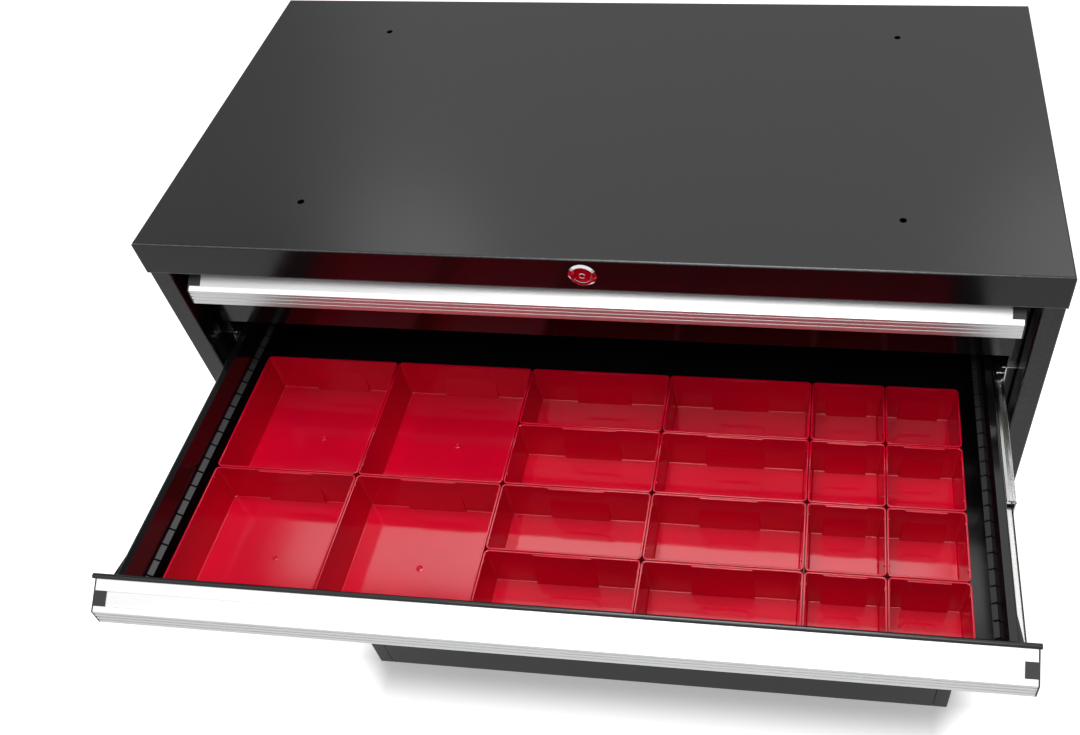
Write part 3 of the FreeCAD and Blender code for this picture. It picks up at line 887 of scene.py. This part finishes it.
    def gate_mark(self, x: float, y: float) -> Mould:
        """Small crater that the mould's gate leaves in the middle of a large bin's floor."""
        foot, top = (x, y, self.floor - self.gate_root), (x, y, self.floor + self.gate_rise)
        mark = Mould.rod("gate", self.gate_radius, foot, top, sides=20)
        mark.pick(Pick.FACES, facing(Axis.Z, 1)).inset(self.gate_slope).shift((0, 0, self.gate_lift))
        mark.inset(self.gate_step).shift((0, 0, -self.gate_step))
        return mark.inset(self.gate_step).shift(self.gate_tip)

    def nubs(self, wide: float, deep: float) -> list[Mould]:
        """Stacking nubs on the inner faces of the side walls, near the rear and the front."""
        made = []
        for x, inward in ((self.wall, 1), (wide - self.wall, -1)):
            left, right = sorted((x - inward * self.root, x + inward * self.nub_size))
            for y in (self.nub_place, deep - self.nub_place):
                low = (left, y - self.nub_size, self.height - self.nub_foot)
                high = (right, y + self.nub_size, self.height - self.nub_top)
                made.append(Mould.box("nub", low, high).pick(Pick.EDGES, everything).bevel(self.edge, 2))
        return made


# Slides


class Member(Enum):
    """The modelled pieces of a slide, by the word in their names."""

    MIDDLE = "middle_slide"
    INNER = "inner_slide"
    CAGE = "ball_cage"
    LUG = "slide_lug"


@dataclass
class SlideMembers:
    """Moving slide members with ball races, ball cages between them, and lugs of the outer members."""

    palette: Palette
    drawers: int = 6
    sheet: float = 0.0012
    race_thickness: float = 0.0024
    race_groove: float = 0.0016
    edge: float = 0.0005
    middle_depth: float = 0.0091
    middle_ridge: float = 0.0034
    inner_depth: float = 0.0082
    inner_ridge: float = 0.0018
    pad_count: int = 3
    pad_length: float = 0.024
    pad_height: float = 0.014
    pad_corner: float = 0.002
    standoff: float = 0.0033
    cage_reach: float = 0.0004
    cage_outward: float = 0.001
    cage_width: float = 0.0052
    cage_start: float = 0.001
    cage_end: float = 0.05
    cage_corner: float = 0.0009
    ball: float = 0.0014
    ball_start: float = 0.0018
    ball_pitch: float = 0.008
    ball_count: int = 5
    ball_width: float = 0.0068
    ball_round: float = 0.0006
    lug_start: float = 0.001
    lug_rise: float = 0.0135
    lug_depth: float = 0.012
    lug_inward: float = 0.006
    lug_outward: float = 0.0165
    lug_corner: float = 0.0015

    def build(self) -> None:
        """Make the pieces of the open drawer's slides and copy them to every drawer."""
        for side, word in ((-1, "left"), (1, "right")):
            models = {
                Member.MIDDLE: self.middle_member(side),
                Member.INNER: self.inner_member(side),
                Member.CAGE: self.ball_cage(side),
                Member.LUG: self.lug(side),
            }
            for member, model in models.items():
                for number in range(1, self.drawers + 1):
                    self.set_copy(model, member, number, word)
                bpy.data.objects.remove(model)

    def set_copy(self, model: Piece, member: Member, number: int, word: str) -> None:
        """Copy a piece of the open drawer's slides to a drawer.

        Args:
            model: The piece at the open drawer's place.
            member: What the piece is, which says its body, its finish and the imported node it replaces.
            number: The drawer.
            word: The side, for the name.
        """
        drawer = f"drawer_{number}"
        slides = "inner_slides" if member is Member.INNER else "middle_slides"
        node = f"{drawer}_{slides}"
        here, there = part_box(node)[0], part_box(f"{OPEN_DRAWER}_{slides}")[0]
        along = 0.0 if member is Member.LUG else here[1] - there[1]
        by = (here[0] - there[0], along, here[2] - there[2])
        piece = copy_at(model, f"{drawer}_{member.value}_{word}", by)
        body = {Member.INNER: drawer, Member.LUG: "cabinet"}.get(member, f"runner_{number}")
        finish = Finish.CAPS if member is Member.CAGE else Finish.ZINC
        replaced = node if member in (Member.INNER, Member.MIDDLE) else None
        self.palette.complete(piece, finish, body, replaced)

    def sided(self, name: str, side: int, near: Point, far: Point) -> Mould:
        """Box on one side of the cabinet from a corner near its middle to one further out."""
        ends = sorted((side * near[0], side * far[0]))
        return Mould.box(name, (ends[0], near[1], near[2]), (ends[1], far[1], far[2]))

    def race(self, side: int, near: Point, far: Point, ridge: float, up: int) -> Mould:
        """Flange with rounded ridges along both edges and a ball race between them."""
        flange = self.sided("race", side, near, far)
        flange.pick(Pick.EDGES, running(Axis.Y)).bevel(self.edge, 3)
        flange.pick(Pick.FACES, facing(Axis.Z, up, EXACTLY))
        return flange.inset(ridge - self.edge).shift((0, 0, -up * self.race_groove))

    def channel(self, name: str, node: str, side: int, ridge: float, web_outside: bool) -> Mould:
        """Channel with a race on its upper and lower flange.

        Args:
            name: Name of the piece.
            node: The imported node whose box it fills.
            side: 1 for the right, -1 for the left.
            ridge: Width of the ridges beside a race.
            web_outside: Whether the web is on the side away from the drawer.

        Returns:
            The channel.
        """
        (_, front, bottom), (_, back, top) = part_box(node)
        inner, outer = self.reach(node)
        web = (outer - self.sheet, outer) if web_outside else (inner, inner + self.sheet)
        made = self.sided(name, side, (web[0], front, bottom), (web[1], back, top))
        made.pick(Pick.EDGES, running(Axis.Y)).bevel(self.edge, 2)
        roof, foot = top - self.race_thickness, bottom + self.race_thickness
        upper = self.race(side, (inner, front, roof), (outer, back, top), ridge, 1)
        lower = self.race(side, (inner, front, bottom), (outer, back, foot), ridge, -1)
        return made.add([upper, lower])

    def reach(self, node: str) -> tuple[float, float]:
        """Distances of a member's two faces from the cabinet's middle."""
        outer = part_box(node)[1][0]
        return outer - (self.middle_depth if "middle" in node else self.inner_depth), outer

    def middle_member(self, side: int) -> Piece:
        """Middle member of the open drawer."""
        node = f"{OPEN_DRAWER}_middle_slides"
        return self.channel("model_middle", node, side, self.middle_ridge, True).done()

    def inner_member(self, side: int) -> Piece:
        """Inner member of the open drawer with the pads that stand it off the tray."""
        node = f"{OPEN_DRAWER}_inner_slides"
        low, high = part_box(node)
        inner = self.reach(node)[0]
        made = self.channel("model_inner", node, side, self.inner_ridge, False)
        level = (low[2] + high[2]) / 2
        pads = []
        for index in range(self.pad_count):
            centre = low[1] + (high[1] - low[1]) * (index + 0.5) / self.pad_count
            near = (inner - self.standoff, centre - self.pad_length / 2, level - self.pad_height / 2)
            far = (inner + self.sheet / 2, centre + self.pad_length / 2, level + self.pad_height / 2)
            pad = self.sided("pad", side, near, far)
            pads.append(pad.pick(Pick.EDGES, running(Axis.X)).bevel(self.pad_corner, 3))
        return made.add(pads).done()

    def ball_cage(self, side: int) -> Piece:
        """Front end of the ball cages between the middle and the inner member, with their balls."""
        low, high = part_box(f"{OPEN_DRAWER}_middle_slides")
        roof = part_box(f"{OPEN_DRAWER}_inner_slides")[1][2] + self.ball / 2
        inner, outer = self.reach(f"{OPEN_DRAWER}_inner_slides")
        ceiling = high[2] - self.race_thickness - self.ball / 4
        front = low[1] - self.cage_reach
        middle = (inner + outer) / 2 + self.cage_outward
        near = (middle - self.cage_width / 2, front + self.cage_start, roof)
        far = (middle + self.cage_width / 2, front + self.cage_end, ceiling)
        cage = self.sided("model_cage", side, near, far)
        cage.pick(Pick.EDGES, running(Axis.Z)).bevel(self.cage_corner, 3)
        balls = []
        for index in range(self.ball_count):
            y = front + self.ball_start + index * self.ball_pitch
            start = (side * (middle - self.ball_width / 2), y, (roof + ceiling) / 2)
            end = (side * (middle + self.ball_width / 2), y, (roof + ceiling) / 2)
            ball = Mould.rod("ball", self.ball, start, end, sides=16)
            ball.pick(Pick.EDGES, lambda centre, along: abs(along.x) < MOSTLY)
            balls.append(ball.bevel(self.ball_round, 3))
        return cage.add(balls).done()

    def lug(self, side: int) -> Piece:
        """Lug at the front of the outer member, folded over to hook into the upright."""
        low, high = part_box("slide_outer_members")
        web = high[0]
        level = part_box(f"{OPEN_DRAWER}_middle_slides")[1][2]
        front = low[1] + self.lug_start
        back = front + self.lug_depth
        top = level + self.lug_rise
        leg = self.sided("model_lug", side, (web - self.sheet, front, level), (web, back, top))
        near = (web - self.lug_inward, front, top - self.sheet)
        fold = self.sided("fold", side, near, (web + self.lug_outward, back, top))
        fold.pick(Pick.EDGES, running(Axis.Z)).bevel(self.lug_corner, 3)
        return leg.add([fold]).done()


# Lock


@dataclass
class LockFront:
    """Bezel and barrel of the lock, and the ring round its keyway."""

    palette: Palette
    barrel_radius: float = 0.011
    barrel_sides: int = 72
    bezel_radius: float = 0.01375
    seam: float = 0.00001
    cone_depth: float = 0.0016
    cone_width: float = 0.0024
    edge: float = 0.0003
    dish: float = 0.0004
    bore_radius: float = 0.0082
    ring_radius: float = 0.0027
    ring_wire: float = 0.0006
    ring_flatness: float = 0.7
    ring_sides: int = 40
    wire_sides: int = 12

    def build(self) -> None:
        """Model the barrel with its bezel and the ring on the plug."""
        low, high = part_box("lock_barrel")
        level = (low[2] + high[2]) / 2
        barrel = self.barrel(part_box("top_cap")[0][1], high[1], level)
        self.palette.complete(barrel, Finish.CHROME, "cabinet", "lock_barrel")
        ring = self.keyway_ring(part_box("lock_plug")[0][1], level)
        self.palette.complete(ring, Finish.CHROME, "lock")

    def barrel(self, face: float, back: float, level: float) -> Piece:
        """Barrel with a coned, slightly dished bezel and a bore for the plug.

        Args:
            face: Y of the cap's lip.
            back: Y of the barrel's rear end.
            level: Height of the lock's axis.

        Returns:
            The barrel.
        """
        ends = (0, face, level), (0, back, level)
        made = Mould.rod("lock_bezel", self.barrel_radius, *ends, sides=self.barrel_sides)
        made.pick(Pick.FACES, facing(Axis.Y, -1, EXACTLY))
        wider = self.bezel_radius / self.barrel_radius
        made.extrude((0, -self.seam, 0)).resize((wider, 1, wider)).extrude((0, -self.edge, 0))
        narrower = (self.bezel_radius - self.cone_width) / self.bezel_radius
        made.extrude((0, -self.cone_depth, 0)).resize((narrower, 1, narrower))
        made.inset(self.edge).shift((0, -self.edge / 3, 0))
        rest = self.bezel_radius - self.cone_width - self.edge * 2 - self.bore_radius
        made.inset(rest).shift((0, self.dish, 0))
        made.inset(self.edge / 2).shift((0, self.edge / 2, 0))
        made.extrude((0, back - face + self.cone_depth, 0))
        return made.done()

    def keyway_ring(self, face: float, level: float) -> Piece:
        """Flattened ring that stands round the keyway on the plug's face.

        Args:
            face: Y of the plug's face.
            level: Height of the lock's axis.

        Returns:
            The ring.
        """
        clear_selection()
        bpy.ops.mesh.primitive_torus_add(
            major_radius=self.ring_radius,
            minor_radius=self.ring_wire,
            major_segments=self.ring_sides,
            minor_segments=self.wire_sides,
            location=(0, face, level),
            rotation=(math.pi / 2, 0, 0),
        )
        ring = Mould("keyway_ring")
        ring.pick(Pick.FACES, everything).resize((1, self.ring_flatness, 1))
        return ring.done()


# Studio


@dataclass(frozen=True)
class Lens:
    """Camera of the photograph, in the cabinet's frame."""

    place: Point = (0.21811, -0.9397, 1.6021)
    right: Point = (0.99217, 0.11114, -0.05692)
    down: Point = (0.04626, -0.75059, -0.65915)
    forward: Point = (-0.11599, 0.65136, -0.74985)
    pixels_per_length: float = 1078.76
    centre: tuple[float, float] = (684.265, 359.117)
    width: int = 1080
    height: int = 735
    sensor: float = 36.0
    nearest: float = 0.01

    def build(self) -> None:
        """Add the camera and make it the scene's."""
        data = bpy.data.cameras.new("Camera")
        camera = bpy.data.objects.new("Camera", data)
        bpy.context.scene.collection.objects.link(camera)
        data.sensor_fit = "HORIZONTAL"
        data.sensor_width = self.sensor
        data.lens = self.pixels_per_length * self.sensor / self.width
        data.shift_x = (self.width / 2 - self.centre[0]) / self.width
        data.shift_y = (self.centre[1] - self.height / 2) / self.width
        data.clip_start = self.nearest
        back = [-value for value in self.forward]
        up = [-value for value in self.down]
        turn = Matrix((self.right, up, back)).transposed()
        camera.matrix_world = Matrix.Translation(self.place) @ turn.to_4x4()
        bpy.context.scene.camera = camera


@dataclass(frozen=True)
class Floor:
    """Pale floor that looks white, with a painted shade round the cabinet's base where it glows less."""

    size: float = 16.0
    colour: float = 0.86
    speckle: float = 0.03
    speck: Grain = (60.0, 4.0)
    roughness: float = 0.9
    mirrored: float = 0.25
    # Lower glow near the base: a painted shade round the base
    glow_in_painted_shade: float = 0.28
    glow_far: float = 0.95
    glow_band: Band = (0.01, 0.09)

    def build(self) -> None:
        """Lay the floor; it glows more away from the base, so that near the base it holds a painted shade,
        and less where the cabinet mirrors it.
        """
        clear_selection()
        bpy.ops.mesh.primitive_plane_add(size=self.size, location=(0, 0, 0))
        floor = bpy.context.object
        floor.name = "Floor"
        shader = Shader("Pale floor")
        pale, paler = (self.colour,) * 3, (self.colour + self.speckle,) * 3
        speckled = shader.blend(shader.noise(*self.speck), pale, paler)
        shader.set(Base_Color=speckled, Roughness=self.roughness)
        seen, glossy = shader.rays()
        across, along, _ = shader.split(shader.place)
        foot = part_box("base_frame")[1]
        away = (across.size() - foot[0]).held(0.0, 1.0) + (along.size() - foot[1]).held(0.0, 1.0)
        # Painted shade: the floor glows less near the base, so it looks darker there
        spread = self.glow_in_painted_shade + away.ramp(self.glow_band) * (self.glow_far - self.glow_in_painted_shade)
        amount = seen * spread + glossy * (1.0 - seen) * self.mirrored
        glow = shader.blend(amount, (0.0, 0.0, 0.0), (1.0, 1.0, 1.0))
        shader.set(Specular_IOR_Level=0.0, Emission_Color=glow, Emission_Strength=1.0)
        floor.data.materials.append(shader.material)


@dataclass(frozen=True)
class FarLamp:
    """A lamp far behind the cabinet, of which only the reflection shows: its direction and half angle."""

    aim: Point
    spread: float


@dataclass(frozen=True)
class Room:
    """White room; what the cabinet mirrors of it is dull to the left and holds two far lamps."""

    surround: float = 0.15
    level: float = 0.55
    overhead: float = 0.7
    overhead_band: Band = (0.3, 0.75)
    high_band: Band = (0.6, 0.7)
    low_left: float = 0.4
    low_left_band: Band = (0.36, 0.46)
    high_left: float = 0.92
    high_left_band: Band = (-0.08, 0.08)
    high_left_slant: float = 0.62
    rear_band: Band = (0.1, 0.35)
    front: float = 0.4
    front_band: Band = (0.2, 0.5)
    front_top: Band = (0.4, 0.65)
    lamp_level: float = 1.15
    lamps: tuple[FarLamp, ...] = (
        FarLamp((-0.355, 0.66, 0.662), 5.5),
        FarLamp((0.235, 0.70, 0.675), 7.0),
    )

    def build(self) -> None:
        """Make the world: white to the camera, a dim even light, and the mirrored room by direction."""
        world = bpy.data.worlds.new("Room")
        world.use_nodes = True
        bpy.context.scene.world = world
        board = Board(world.node_tree)
        seen, glossy = board.rays()
        strength = seen + (1.0 - seen) * (glossy * self.mirrored(board) + (1.0 - glossy) * self.surround)
        background = world.node_tree.nodes["Background"].inputs
        board.feed(background["Color"], (1.0, 1.0, 1.0))
        board.feed(background["Strength"], strength)

    def mirrored(self, board: Board) -> Signal:
        """Brightness of the room in a mirror.

        Args:
            board: The world's node tree.

        Returns:
            The level in the ray's direction: brighter overhead and low in front, duller on the left
            of the rear half, and bright at the far lamps.
        """
        way = board.node("ShaderNodeTexCoord", {}, {}).out("Generated")
        x, y, z = board.split(way)
        level = self.level + z.ramp(self.overhead_band) * self.overhead
        high = z.ramp(self.high_band)
        low_left = (x * -1.0).ramp(self.low_left_band) * self.low_left * (1.0 - high)
        slanted = x * -1.0 - y * self.high_left_slant
        high_left = slanted.ramp(self.high_left_band) * self.high_left * high
        front = (y * -1.0).ramp(self.front_band) * (1.0 - z.ramp(self.front_top)) * self.front
        mirrored = level * (1.0 - (low_left + high_left) * y.ramp(self.rear_band)) + front
        for lamp in self.lamps:
            aims = {0: way, 1: lamp.aim}
            near = board.node("ShaderNodeVectorMath", {"operation": "DOT_PRODUCT"}, aims).out("Value")
            edge = math.cos(math.radians(lamp.spread))
            mirrored = near.ramp((edge, 1.0)) * self.lamp_level + mirrored
        return mirrored


@dataclass(frozen=True)
class Softbox:
    """A large rectangular lamp that looks at a target."""

    name: str
    place: Point
    target: Point
    width: float
    height: float
    radiance: float

    def build(self) -> None:
        """Add the lamp; its power follows from its radiance and size."""
        data = bpy.data.lights.new(self.name, "AREA")
        data.shape = "RECTANGLE"
        data.size = self.width
        data.size_y = self.height
        data.energy = self.radiance * math.pi * self.width * self.height
        lamp = bpy.data.objects.new(self.name, data)
        lamp.location = self.place
        aim = Vector(self.target) - Vector(self.place)
        lamp.rotation_euler = aim.to_track_quat("-Z", "Y").to_euler()
        bpy.context.scene.collection.objects.link(lamp)


@dataclass(frozen=True)
class Studio:
    """White studio: floor, room and three softboxes."""

    softboxes: tuple[Softbox, ...] = (
        Softbox("Rear softbox", (-0.5, 1.03, 3.185), (-0.5, 1.03, 0.0), 2.4, 0.32, radiance=3.4),
        Softbox("Front softbox", (0.0, -1.45, 2.9), (0.0, -0.4, 0.7), 1.6, 0.8, radiance=4.4),
        Softbox("Top softbox", (0.0, 0.0, 3.3), (0.0, 0.0, 0.0), 1.0, 0.9, radiance=12.0),
    )

    def build(self) -> None:
        """Set the view transform and build the floor, the world and the lamps."""
        bpy.context.scene.view_settings.view_transform = "Standard"
        for fixture in (Floor(), Room(), *self.softboxes):
            fixture.build()


def main() -> None:
    """Build the studio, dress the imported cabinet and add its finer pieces."""
    logging.basicConfig(level=logging.INFO, format="%(name)s: %(message)s")
    Lens().build()
    Studio().build()
    palette = Palette(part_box("top_cap"))
    palette.dress_nodes()
    for detail in (StorageBins(palette), SlideMembers(palette), LockFront(palette)):
        detail.build()


if __name__ == "__main__":
    main()
